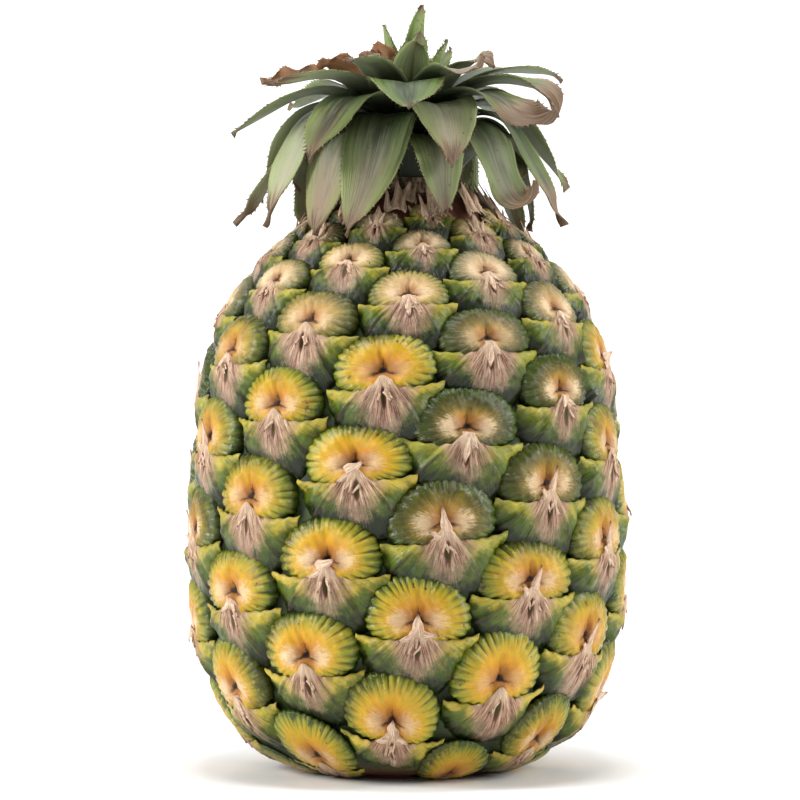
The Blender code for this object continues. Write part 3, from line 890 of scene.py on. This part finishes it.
class Leaf:
    """One crown leaf: its middle line, its blade and its looks."""

    def __init__(self, number):
        self.number = number
        self.share = (number - 1) / (LEAF_COUNT - 1)
        self.start, self.end, self.length, self.width = tier_at(self.share)
        aside, longer = LEAF_HABITS.get(number, (0.0, 1.0))
        self.length *= longer
        self.angle = CROWN_ANGLE - DIVERGENCE * number + aside
        self.dice = rng(number, 3)
        usual = (
            self.dice.uniform(0.0, 0.30), self.dice.uniform(0.03, 0.11), self.dice.uniform(0.0, 0.4),
            self.dice.uniform(0.12, 0.24), self.dice.uniform(-40, 60), self.dice.uniform(-20, 30),
        )
        self.pale, self.dry, self.blush, self.fold, self.curl, self.twist = LEAF_LOOKS.get(number, usual)

    def line(self):
        """Rows of (radius, height, slope in radians) along the middle of the leaf."""
        rise = LOWEST_LEAF + (HIGHEST_LEAF - LOWEST_LEAF) * self.share
        v = np.linspace(0.0, 1.0, LEAF_ROWS)
        s = v * self.length
        lift = LEAF_LIFT.get(self.number, 0.0) * smoothstep(0.2, 0.8, v)
        bent = smoothstep(0.0, 1.0, s / BEND_LENGTH)
        slope = np.radians(self.start + (self.end - self.start) * bent + lift)
        tip = smoothstep(1.0 - 0.9 * min(self.dry + 0.08, 0.5), 1.0, v)
        slope = slope - np.radians(self.curl) * tip
        step = self.length / (LEAF_ROWS - 1)
        middle = (slope[1:] + slope[:-1]) / 2
        radius = stem_radius(rise) + 1.0 + np.concatenate([[0], np.cumsum(np.cos(middle))]) * step
        height = NECK_HEIGHT + rise + np.concatenate([[0], np.cumsum(np.sin(middle))]) * step
        return v, radius, height, slope

    def half_width(self, v, drying):
        shape = (0.66 + 0.75 * v) * (1.0 - v**2.2) ** 0.9
        breadth = LEAF_BREADTH.get(self.number, USUAL_BREADTH)
        broad = 1 + (breadth - 1) * smoothstep(0.05, 0.35, v)
        half = np.maximum(0.5 * self.width * broad * shape, 0.35)
        return half * (1 - 0.35 * drying * (v < 0.999))

    def raised(self, u, v, half, drying, a, b):
        """How far the blade stands off its flat shape: its channel, keel, waves and crinkles."""
        free = smoothstep(0.25, 0.7, v)
        wave = 0.045 * self.width * np.sin(9 * v + a + 1.5 * np.sign(u)) * np.abs(u) ** 3 * free
        crinkle = 0.07 * self.width * drying * np.sin(31 * v + 3 * u + b) * np.abs(u)
        channel = (0.12 + (self.fold - 0.12) * free) * half * u**2 * np.minimum(1.0, 2 * v)
        keel = -0.05 * half * bump(u, 0.0, 0.16) * smoothstep(0.05, 0.3, v)
        return channel + keel + wave + crinkle

    def grid(self):
        """The blade's middle surface as rows of points, with v and u."""
        v, radius, height, slope = (row[:, None] for row in self.line())
        u = np.linspace(-1.0, 1.0, LEAF_COLUMNS)[None, :]
        a, b, c, d = self.dice.uniform(0, FULL_TURN, 4)
        drying = smoothstep(1.0 - self.dry, 1.0, v)
        half = self.half_width(v, drying)
        turn = np.radians(self.twist) * smoothstep(0.98 - self.dry - 0.12, 1.0, v)
        raised = self.raised(u, v, half, drying, a, b) + u * half * np.sin(turn)
        sway = LEAF_SWAY.get(self.number, 0.06 * self.length * np.sin(c))
        ragged = 0.25 * np.sin(60 * v + d) * np.abs(u) ** 3 * np.sign(u) * (0.3 + drying)
        sideways = u * half * np.cos(turn) + sway * v**3 + ragged
        out = radius - raised * np.sin(slope)
        around = np.radians(self.angle) + sideways / radius
        up = height + raised * np.cos(slope)
        points = np.stack([out * np.sin(around), -out * np.cos(around), up], 2)
        return points, v + 0 * u, u + 0 * v

    def build(self, finish):
        points, v, u = self.grid()
        thickness = 1.1 * (1 - 0.75 * np.abs(u) ** 2) * (1 - 0.55 * v) + 0.12
        both, faces, side = sheet_shell(points, thickness)
        shell = Shell()
        reading = np.stack([np.tile(u.ravel(), 2), np.tile(v.ravel(), 2)], 1)
        shell.add(both, faces, across=reading[:, 0], along=reading[:, 1], top=side,
                  length=self.length, pale=self.pale, dry=self.dry, blush=self.blush,
                  young=float(smoothstep(0.78, 0.9, self.share)), seed=self.dice.uniform())
        mesh = shell.mesh(f"crown_leaf_{self.number:02d}")
        uv = mesh.uv_layers.new(name="OFBake")
        index = np.empty(len(mesh.loops), np.int32)
        mesh.loops.foreach_get("vertex_index", index)
        place = np.stack([
            0.02 + 0.44 * (reading[:, 0] + 1) / 2 + 0.5 * (1 - side), 0.02 + 0.96 * reading[:, 1]], 1)
        uv.data.foreach_set("uv", place[index].astype(np.float32).ravel())
        mesh.materials.append(finish)
        return mesh

    def spines(self, plan):
        """Adds this leaf's marginal spines to a plan of points with an aim and a size."""
        points, v, _ = self.grid()
        rows = np.arange(int(0.42 * LEAF_ROWS), LEAF_ROWS - 3, 2 if self.length > 30 else 4)
        for column, inner in ((0, 1), (LEAF_COLUMNS - 1, LEAF_COLUMNS - 2)):
            edge = points[rows, column]
            outward = edge - points[rows, inner]
            outward /= np.linalg.norm(outward, axis=1, keepdims=True) + 1e-9
            onward = points[rows + 1, column] - edge
            onward /= np.linalg.norm(onward, axis=1, keepdims=True) + 1e-9
            aim = outward + 0.9 * onward
            size = self.dice.uniform(0.5, 1.1, len(rows)) * (0.6 + 0.6 * v[rows, 0])
            plan.add(edge - 0.15 * outward, [], aim=aim, size=size)


def live_leaf(s, look, along, streak, band, blotch):
    """Greens of a live leaf, its grey wax and its pale fading. Returns the wax's share too."""
    young, pale = s.values("young", "pale")
    colour = s.mix(s.fade(s.plus(streak, s.times(blotch, 0.5)), 0.55, 0.95), look.dark, look.green)
    tender = s.mix(s.fade(streak, 0.25, 0.55), look.green, look.young)
    colour = s.mix(young, colour, tender)
    wax = s.times(s.fade(s.plus(band, s.times(blotch, 0.6)), 0.66, 1.02), s.fade(along, 0.2, 0.6))
    wax = s.times(wax, s.plus(0.27, s.times(pale, 0.6)), s.fade(young, 0.0, 1.0, 1.0, 0.35))
    colour = s.mix(wax, colour, look.bloom)
    faded = s.times(pale, s.fade(along, 0.25, 0.8, 0.0, 0.9))
    return s.mix(faded, colour, s.mix(streak, look.light, look.pale)), wax


def leaf_margins(s, look, colour, along, band):
    """The fresh green sides, the light rim, the waxy underside and painted shade on the foot of a leaf."""
    young, side = s.value("young"), s.size_of(s.value("across"))
    fresh = s.times(s.fade(s.plus(along, s.times(band, 0.4)), 0.50, 0.95), s.fade(side, 0.1, 0.9))
    colour = s.mix(s.times(fresh, 0.45), colour, look.young)
    rim = s.times(s.fade(side, 0.92, 0.99), s.fade(along, 0.1, 0.7))
    colour = s.mix(s.times(rim, 0.5), colour, look.edge)
    under = s.times(s.fade(s.value("top"), 1.0, 0.0), s.fade(young, 0.0, 1.0, 0.42, 0.10))
    colour = s.mix(under, colour, look.bloom)
    # painted shade towards the foot of a leaf, less on young leaves
    shade = s.times(s.fade(along, 0.60, 0.08), s.fade(young, 1.0, 0.0, 0.3, 0.88))
    return s.mix(shade, colour, look.dark)


def leaf_material(look):
    s = Shader("leaf")
    along, across, seed, dry = s.values("along", "across", "seed", "dry")
    run = s.times(along, s.value("length"), 0.05)
    streak = s.noise(s.combine(s.times(across, 34.0), run, s.times(seed, 40.0)), 1.0, 3.0)
    band = s.noise(s.combine(s.times(across, 5.0), run, s.times(seed, 70.0)), 1.4, 4.0)
    veins = s.noise(s.combine(s.times(across, 22.0), s.times(run, 0.3), seed), 1.0, 2.0)
    blotch = s.noise(s.place(), 90.0, 4.0)
    colour, wax = live_leaf(s, look, along, streak, band, blotch)
    flushed = s.times(s.value("blush"), s.fade(s.plus(along, s.times(band, 0.5)), 0.7, 1.15))
    colour = s.mix(s.times(flushed, 0.75), colour, s.mix(streak, look.blush, look.tan))
    colour = leaf_margins(s, look, colour, along, band)
    dead = s.mix(s.fade(s.plus(streak, s.times(along, 0.3)), 0.5, 0.9), look.tan, look.brown)
    dead = s.mix(s.fade(dry, 0.5, 1.0, 0.0, 0.75), dead, look.rust)
    gone = s.plus(along, dry, s.sway(band, 0.35))
    colour = s.mix(s.fade(gone, 0.95, 1.06), colour, dead)
    specks = s.fade(s.noise(s.place(), 520.0, 2.0), 0.68, 0.76)
    colour = s.mix(s.times(specks, 0.6), colour, look.brown)
    rough = s.plus(s.fade(wax, 0.0, 0.6, 0.36, 0.52), s.times(blotch, 0.12))
    normal = s.relief((veins, 0.5, 0.5), (streak, 0.2, 0.4), (blotch, 0.5, 0.25))
    return s.finish(colour, rough, normal, Specular_IOR_Level=LEAF_SPECULAR)


def stem_mesh(look):
    """The crown's short stem, ringed by leaf scars and frayed leaf feet."""
    section = [(0.0, NECK_HEIGHT)]
    for step in range(61):
        rise = STEM_HEIGHT * step / 60
        scar = 0.35 * math.sin(rise * 2.6) ** 3
        section.append((max(stem_radius(rise) + scar, 0.8), NECK_HEIGHT + rise))
    section.append((0.0, NECK_HEIGHT + STEM_HEIGHT + 0.6))

    def wobble(turn, ring, up):
        rise = up[0] - NECK_HEIGHT
        lift = 0.35 * np.sin(5 * turn + 0.9 * rise) if 1.0 < rise < STEM_HEIGHT - 1.0 else 0.0
        return ring * (1 + 0.02 * np.sin(13 * turn + rise)), up + lift

    finish = husk_material("stem_husk", look, 60.0)
    return turned_mesh("crown_stem_skin", section[::-1], 96, wobble, finish)


def husk_material(name, look, scale):
    """Dry fibrous tissue: long fibres over pale and brown patches."""
    s = Shader(name)
    place = s.place()
    spread = s.node("ShaderNodeMapping", {"Vector": place, "Scale": (1.0, 1.0, 0.16)})
    fibre = s.noise(spread, 900.0, 4.0)
    patch = s.noise(place, scale, 4.0)
    colour = s.mix(s.fade(fibre, 0.38, 0.66), look.brown, look.tan)
    colour = s.mix(s.fade(patch, 0.45, 0.7), colour, look.husk_green)
    pits = s.fade(s.cells(place, 800.0), 0.16, 0.05)
    colour = s.mix(s.times(pits, 0.6), colour, look.dark)
    return s.finish(colour, 0.78, s.relief((fibre, 0.4, 0.7), (patch, 0.8, 0.3)))


def stalk_mesh(look):
    """The cut foot of the stalk: bundles of fibre ends inside a torn rim."""
    section = [(0.0, 2.2), (11.6, 2.2), (12.4, 1.9), (12.5, 1.2), (12.3, 0.25), (11.7, 0.0)]
    section += [(r, 0.0 if r > 10.6 else 0.35 + 0.1 * math.sin(2.3 * r)) for r in np.arange(11.0, 0.5, -0.5)]
    section.append((0.0, 0.3))

    def wobble(turn, ring, up):
        if up[0] < 1.0 and ring[0] < 11.4:
            up = np.maximum(up + 0.14 * np.sin(17 * turn + 2.1 * ring) * np.sin(1.9 * ring), 0.02)
        return ring, up

    finish = husk_material("cut_fibre", look, 140.0)
    return turned_mesh("cut_stalk_end", section, 96, wobble, finish)


# --- Geometry Nodes ---


class Tree(Nodes):
    """A geometry node tree with named inputs."""

    def __init__(self, name, inputs):
        super().__init__(bpy.data.node_groups.new(name, "GeometryNodeTree"))
        face = self.tree.interface
        for title, kind in {"Geometry": "NodeSocketGeometry", **inputs}.items():
            face.new_socket(title, in_out="INPUT", socket_type=kind)
        face.new_socket("Geometry", in_out="OUTPUT", socket_type="NodeSocketGeometry")
        self.enter = self.tree.nodes.new("NodeGroupInput")
        self.leave = self.tree.nodes.new("NodeGroupOutput")

    def given(self, title):
        return self.enter.outputs[title]

    def named(self, name, kind="FLOAT"):
        return self.node("GeometryNodeInputNamedAttribute", {"Name": name}, data_type=kind)

    def finish(self, geometry):
        inputs = {"Geometry": geometry, "Material": self.given("Finish")}
        self.tree.links.new(self.node("GeometryNodeSetMaterial", inputs), self.leave.inputs[0])
        return self.tree


def wrapped_place(g):
    """Where a point of a flat fruitlet lies once it is wrapped round the outline."""
    across, up, out = g.split(g.node("GeometryNodeInputPosition"))
    turn = g.plus(g.named("hub_angle"), g.math("DIVIDE", across, g.given("Widest Radius")))
    along = g.math("SUBTRACT", g.named("hub_distance"), g.times(up, g.named("along_scale")))
    outline = g.node("GeometryNodeObjectInfo", {"Object": g.given("Outline")}, "Geometry")
    line = g.node("GeometryNodeMeshToCurve", {"Mesh": outline})
    ride = g.node("GeometryNodeSampleCurve", {"Curves": line, "Length": along}, mode="LENGTH").node
    line_x, _, line_z = g.split(ride.outputs["Position"])
    way_x, _, way_z = g.split(ride.outputs["Tangent"])
    spread = g.combine(across, along, g.named("seed"))
    swell = g.node("ShaderNodeTexNoise", {"Vector": spread, "Scale": 60.0, "Detail": 2.0})
    swell = g.times(g.math("SUBTRACT", swell, 0.5), g.given("Unevenness"))
    height = g.plus(g.times(out, g.named("height_scale")), swell)
    radius = g.math("SUBTRACT", line_x, g.times(way_z, height))
    rise = g.math("MAXIMUM", g.plus(line_z, g.times(way_x, height)), 0.0)
    back = g.times(g.math("COSINE", turn), -1.0)
    return g.combine(g.times(radius, g.math("SINE", turn)), g.times(radius, back), rise)


def wrapping_tree():
    """Puts a stock fruitlet at each plan point, then wraps its flat form round the fruit's outline."""
    g = Tree("wrap_fruitlets", {
        "Fruitlets": "NodeSocketCollection", "Outline": "NodeSocketObject",
        "Widest Radius": "NodeSocketFloat", "Tile Size": "NodeSocketFloat",
        "Unevenness": "NodeSocketFloat", "Finish": "NodeSocketMaterial",
    })
    stock = g.node("GeometryNodeCollectionInfo", {
        "Collection": g.given("Fruitlets"), "Separate Children": True, "Reset Children": True})
    index = g.node("FunctionNodeFloatToInt", {0: g.named("sort")}, rounding_mode="ROUND")
    placed = g.node("GeometryNodeInstanceOnPoints", {
        "Points": g.given("Geometry"), "Instance": stock, "Pick Instance": True,
        "Instance Index": index, "Rotation": g.named("lean", "FLOAT_VECTOR"),
        "Scale": g.named("stretch", "FLOAT_VECTOR")})
    real = g.node("GeometryNodeRealizeInstances", {"Geometry": placed})
    wrapped = g.node("GeometryNodeSetPosition", {"Geometry": real, "Position": wrapped_place(g)})
    scaled = g.node("ShaderNodeVectorMath", {
        0: g.named("tile", "FLOAT_VECTOR"), "Scale": g.given("Tile Size")}, operation="SCALE")
    corner = g.node("ShaderNodeVectorMath", {0: scaled, 1: g.named("tile_corner", "FLOAT_VECTOR")})
    mapped = {"Geometry": wrapped, "Name": "OFBake", "Value": corner}
    return g.finish(g.node(
        "GeometryNodeStoreNamedAttribute", mapped, data_type="FLOAT2", domain="CORNER"))


def spine_tree():
    """Sets a small cone on each plan point, along the point's aim."""
    g = Tree("leaf_spines", {
        "Length": "NodeSocketFloat", "Thickness": "NodeSocketFloat", "Finish": "NodeSocketMaterial"})
    cone = g.node("GeometryNodeMeshCone", {
        "Vertices": 5, "Radius Top": 0.00003, "Radius Bottom": g.given("Thickness"),
        "Depth": g.given("Length")})
    turn = g.node("FunctionNodeAlignRotationToVector", {"Vector": g.named("aim", "FLOAT_VECTOR")}, axis="Z")
    placed = g.node("GeometryNodeInstanceOnPoints", {
        "Points": g.given("Geometry"), "Instance": cone, "Rotation": turn, "Scale": g.named("size")})
    real = g.node("GeometryNodeRealizeInstances", {"Geometry": placed})
    return g.finish(g.node("GeometryNodeSetShadeSmooth", {"Geometry": real}))


def grown(obj, tree, inputs):
    """The plain mesh that a node tree makes of an object. The object is used up."""
    modifier = obj.modifiers.new(tree.name, "NODES")
    modifier.node_group = tree
    for item in tree.interface.items_tree:
        if item.item_type == "SOCKET" and item.in_out == "INPUT" and item.name in inputs:
            modifier[item.identifier] = inputs[item.name]
    obj.update_tag()
    bpy.context.view_layer.update()
    graph = bpy.context.evaluated_depsgraph_get()
    mesh = bpy.data.meshes.new_from_object(obj.evaluated_get(graph), depsgraph=graph)
    bpy.data.objects.remove(obj, do_unlink=True)
    return mesh


def add_object(name, mesh):
    made = bpy.data.objects.new(name, mesh)
    bpy.context.scene.collection.objects.link(made)
    return made


def settle(obj, slot, *nodes):
    """Hands a finished piece to the frame."""
    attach(obj, BODY)
    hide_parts(*nodes)
    return obj


def outline_object(track):
    line = [(r * MM, 0.0, z * MM) for r, z in track.line]
    mesh = bpy.data.meshes.new("outline")
    mesh.from_pydata(line, [(i, i + 1) for i in range(len(line) - 1)], [])
    return add_object("outline", mesh)


def drop_stock(stock):
    for obj in list(stock.objects):
        bpy.data.objects.remove(obj, do_unlink=True)
    bpy.data.collections.remove(stock)


# --- Settings ---


def colours_of(table):
    """A colour property for each name in the table, from its description and its default."""
    shared = {"size": 3, "min": 0.0, "max": 1.0, "subtype": "COLOR"}
    made = {}
    for name, (about, rgb) in table.items():
        title = name.replace("_", " ").capitalize()
        made[name] = bpy.props.FloatVectorProperty(name=title, description=about, default=rgb, **shared)
    return made


def number_of(title, about, default):
    return bpy.props.FloatProperty(name=title, description=about, default=default)


class FruitletSizes(bpy.types.PropertyGroup):
    half_width: number_of("Half width", "Half a fruitlet's width, in millimetres", 16.7)
    rise: number_of("Rise", "From a fruitlet's hub to the top of its rim, in millimetres", 12.3)
    groove: number_of("Groove", "Depth of the groove round a fruitlet, in millimetres", 3.5)
    rib_depth: number_of("Rib depth", "Depth of the folds at a rim, in millimetres", 0.75)
    unevenness: number_of("Unevenness", "How far the rind swells and sinks, in millimetres", 0.9)
    ribs: bpy.props.IntProperty(name="Ribs", description="Ribs round a fruitlet", default=37)


class RindColours(bpy.types.PropertyGroup):
    __annotations__ = colours_of({
        "cream": ("Downy patches beside a hub", (0.88, 0.67, 0.42)),
        "amber": ("Fruitlet near its middle", (0.55, 0.22, 0.03)),
        "orange": ("Ripe fruitlet", (0.68, 0.28, 0.010)),
        "yellow": ("Ripe fruitlet towards its rim", (0.68, 0.38, 0.014)),
        "gold": ("Ripe rim", (0.52, 0.37, 0.020)),
        "wing": ("Top edge of a bract's wing", (0.56, 0.42, 0.050)),
        "lime": ("Edge of a ripe rim, wings of a bract", (0.30, 0.30, 0.025)),
        "straw": ("Half ripe fruitlet", (0.46, 0.26, 0.035)),
        "olive": ("Unripe fruitlet", (0.17, 0.125, 0.018)),
        # moss also paints the shade on one side of each rim and in the folds between its ribs
        "moss": ("Unripe rim", (0.055, 0.058, 0.008)),
        "green": ("Lower part of a bract", (0.040, 0.075, 0.006)),
        # deep_green also stands for painted shade in the grooves and where bracts dip under
        "deep_green": ("Bottom of the grooves", (0.009, 0.016, 0.002)),
        "leaf_green": ("Outer part of a bract", (0.12, 0.16, 0.012)),
        "paper": ("Dry middle of a bract", (0.46, 0.27, 0.18)),
        "paper_light": ("Bract tips", (0.82, 0.63, 0.45)),
        "dust": ("Grey film on dry tissue", (0.60, 0.42, 0.29)),
        "fibre": ("Torn fibres on a bract", (0.15, 0.045, 0.028)),
        "rust": ("Skin round a hub", (0.36, 0.13, 0.03)),
        "bruise": ("Dark spots near a rim", (0.08, 0.035, 0.02)),
        "bark": ("Hub, cracks and dry edges", (0.035, 0.018, 0.010)),
    })


class CrownColours(bpy.types.PropertyGroup):
    __annotations__ = colours_of({
        "dark": ("Shaded green of a leaf", (0.006, 0.010, 0.0035)),
        "green": ("Usual green of a leaf", (0.028, 0.060, 0.010)),
        "young": ("Youngest leaves", (0.20, 0.30, 0.055)),
        "bloom": ("Grey wax on a leaf", (0.23, 0.27, 0.16)),
        "light": ("Light green of a pale leaf", (0.42, 0.46, 0.25)),
        "pale": ("Palest part of a drying leaf", (0.62, 0.60, 0.47)),
        "edge": ("Margin of a leaf", (0.30, 0.34, 0.12)),
        "blush": ("Purple tint of an ageing leaf", (0.26, 0.14, 0.11)),
        "tan": ("Dry tips and fibres", (0.46, 0.33, 0.21)),
        "brown": ("Darkest dry parts", (0.09, 0.045, 0.025)),
        "rust": ("Leaves that are dry all over", (0.30, 0.12, 0.04)),
        "husk_green": ("Live patches on the stem", (0.12, 0.13, 0.05)),
    })


class SpineSizes(bpy.types.PropertyGroup):
    length: number_of("Length", "Length of a leaf spine, in millimetres", 1.1)
    thickness: number_of("Thickness", "Radius of a spine's foot, in millimetres", 0.22)


class StageSettings(bpy.types.PropertyGroup):
    distance: number_of("Distance", "From the camera to the fruit's axis, in metres", 1.2)
    pitch: number_of("Pitch", "How far the camera looks down, in degrees", 1.85)
    view_height: number_of("View height", "Height of the view at the fruit, in metres", 0.2302)
    aim_height: number_of("Aim height", "Height that the camera looks at, in metres", 0.1061)
    aim_side: number_of("Aim side", "How far left of the axis it looks, in metres", 0.0019)
    paper_grey: number_of("Paper", "How pale the floor is", 0.88)


SETTINGS = {
    "fruitlets": FruitletSizes, "rind": RindColours, "crown": CrownColours, "spines": SpineSizes,
    "stage": StageSettings,
}


def settings(context):
    return context.scene.pineapple


class PineappleSettings(bpy.types.PropertyGroup):
    fruitlets: bpy.props.PointerProperty(type=FruitletSizes)
    rind: bpy.props.PointerProperty(type=RindColours)
    crown: bpy.props.PointerProperty(type=CrownColours)
    spines: bpy.props.PointerProperty(type=SpineSizes)
    stage: bpy.props.PointerProperty(type=StageSettings)


# --- Operators ---


class PINEAPPLE_OT_rind(bpy.types.Operator):
    """Grows the rind as eight spiral rows of fruitlets"""

    bl_idname = "pineapple.rind"
    bl_label = "Rind"

    def execute(self, context):
        chosen = settings(context)
        track = Track()
        finish = rind_material(chosen.rind)
        stock = fruitlet_meshes(chosen.fruitlets)
        line = outline_object(track)
        tree = wrapping_tree()
        for row in range(ROWS_OF_FRUITLETS):
            plan = add_object("plan", fruitlet_plan(track, row))
            mesh = grown(plan, tree, {
                "Fruitlets": stock, "Outline": line, "Widest Radius": WIDEST_RADIUS * MM,
                "Tile Size": 1 / TILES_ACROSS, "Unevenness": chosen.fruitlets.unevenness * MM,
                "Finish": finish,
            })
            settle(add_object(f"rind_row_{row + 1}", mesh), "rind", "fruit")
        bpy.data.objects.remove(line, do_unlink=True)
        drop_stock(stock)
        settle(add_object("flesh_core", core_mesh(track, chosen.rind)), "rind", "fruit")
        return {"FINISHED"}


class PINEAPPLE_OT_leaves(bpy.types.Operator):
    """Grows the crown's leaves, one piece each"""

    bl_idname = "pineapple.leaves"
    bl_label = "Leaves"

    def execute(self, context):
        finish = leaf_material(settings(context).crown)
        for number in range(1, LEAF_COUNT + 1):
            mesh = Leaf(number).build(finish)
            settle(add_object(mesh.name, mesh), "leaf", f"leaf_{number:02d}")
        return {"FINISHED"}


class PINEAPPLE_OT_spines(bpy.types.Operator):
    """Sets small spines along the margins of the leaves"""

    bl_idname = "pineapple.spines"
    bl_label = "Leaf spines"

    def execute(self, context):
        chosen = settings(context)
        plan = Shell()
        for number in range(1, LEAF_COUNT + 1):
            Leaf(number).spines(plan)
        mesh = grown(add_object("spine_plan", plan.mesh("spine_plan")), spine_tree(), {
            "Length": chosen.spines.length * MM, "Thickness": chosen.spines.thickness * MM,
            "Finish": husk_material("spine", chosen.crown, 200.0)})
        piece = add_object("leaf_spines", mesh)
        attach(piece, BODY)
        return {"FINISHED"}


class PINEAPPLE_OT_stem(bpy.types.Operator):
    """Makes the crown's stem and the cut end of the stalk"""

    bl_idname = "pineapple.stem"
    bl_label = "Stem and cut stalk"

    def execute(self, context):
        look = settings(context).crown
        settle(add_object("crown_stem_skin", stem_mesh(look)), "stem", "crown_stem")
        settle(add_object("cut_stalk_end", stalk_mesh(look)), "stalk", "cut_stalk")
        return {"FINISHED"}


class PINEAPPLE_OT_stage(bpy.types.Operator):
    """Sets a pale sweep, soft lights and the camera"""

    bl_idname = "pineapple.stage"
    bl_label = "Stage"

    def execute(self, context):
        stage = settings(context).stage
        add_sweep(stage)
        add_lights()
        add_camera(context, stage)
        return {"FINISHED"}


def add_sweep(stage):
    """A pale floor that curves up into a backdrop."""
    rows = [(-3.0, 0.0), (1.2, 0.0)]
    for step in range(1, 13):
        turn = math.pi / 2 * step / 12
        rows.append((1.2 + math.sin(turn), 1.0 - math.cos(turn)))
    rows.append((2.2, 4.0))
    points = [(side, y, z) for y, z in rows for side in (-4.0, 4.0)]
    faces = [(2 * i, 2 * i + 1, 2 * i + 3, 2 * i + 2) for i in range(len(rows) - 1)]
    mesh = bpy.data.meshes.new("sweep")
    mesh.from_pydata(points, [], faces)
    mesh.shade_smooth()
    paper = Shader("sweep_paper")
    tint = paper.noise(paper.place(), 3.0, 2.0)
    grey = stage.paper_grey
    mesh.materials.append(paper.finish(
        paper.mix(paper.times(tint, 0.15), (grey, grey, grey), (0.97 * grey,) * 3), 0.85))
    add_object("sweep", mesh)


def add_light(name, place, size, power, aim):
    light = bpy.data.lights.new(name, "AREA")
    light.shape = "RECTANGLE"
    light.size, light.size_y = size
    light.energy = power
    made = add_object(name, light)
    made.location = place
    made.rotation_euler = (Vector(aim) - Vector(place)).to_track_quat("-Z", "Y").to_euler()


def add_lights():
    for light in LIGHTS:
        add_light(*light)
    world = bpy.context.scene.world or bpy.data.worlds.new("studio")
    bpy.context.scene.world = world
    world.use_nodes = True
    world.node_tree.nodes["Background"].inputs[0].default_value = (1.0, 1.0, 1.0, 1.0)
    world.node_tree.nodes["Background"].inputs[1].default_value = WORLD_STRENGTH


def add_camera(context, stage):
    lens = bpy.data.cameras.new("camera")
    lens.sensor_width = 36.0
    lens.lens = lens.sensor_width * stage.distance / stage.view_height
    lens.clip_start = 0.05
    made = add_object("camera", lens)
    pitch = math.radians(stage.pitch)
    made.location = (
        -stage.aim_side,
        -stage.distance * math.cos(pitch),
        stage.aim_height + stage.distance * math.sin(pitch),
    )
    made.rotation_euler = (math.pi / 2 - pitch, 0.0, 0.0)
    context.scene.camera = made
    context.scene.view_settings.view_transform = "Standard"


class PINEAPPLE_PT_panel(bpy.types.Panel):
    """Lists the pineapple's pieces"""

    bl_idname = "PINEAPPLE_PT_panel"
    bl_label = "Pineapple"
    bl_space_type = "VIEW_3D"
    bl_region_type = "UI"
    bl_category = "Pineapple"

    def draw(self, context):
        for operator in OPERATORS:
            self.layout.operator(operator.bl_idname)
        for name in SETTINGS:
            box = self.layout.box()
            group = getattr(settings(context), name)
            for key in group.bl_rna.properties.keys():
                if key not in ("rna_type", "name"):
                    box.prop(group, key)


OPERATORS = (
    PINEAPPLE_OT_rind, PINEAPPLE_OT_stem, PINEAPPLE_OT_leaves, PINEAPPLE_OT_spines, PINEAPPLE_OT_stage,
)
CLASSES = (*SETTINGS.values(), PineappleSettings, *OPERATORS, PINEAPPLE_PT_panel)


def register():
    for cls in CLASSES:
        bpy.utils.register_class(cls)
    bpy.types.Scene.pineapple = bpy.props.PointerProperty(type=PineappleSettings)


def unregister():
    del bpy.types.Scene.pineapple
    for cls in reversed(CLASSES):
        bpy.utils.unregister_class(cls)


def main():
    register()
    bpy.ops.pineapple.rind()
    bpy.ops.pineapple.stem()
    bpy.ops.pineapple.leaves()
    bpy.ops.pineapple.spines()
    bpy.ops.pineapple.stage()


if __name__ == "__main__":
    main()
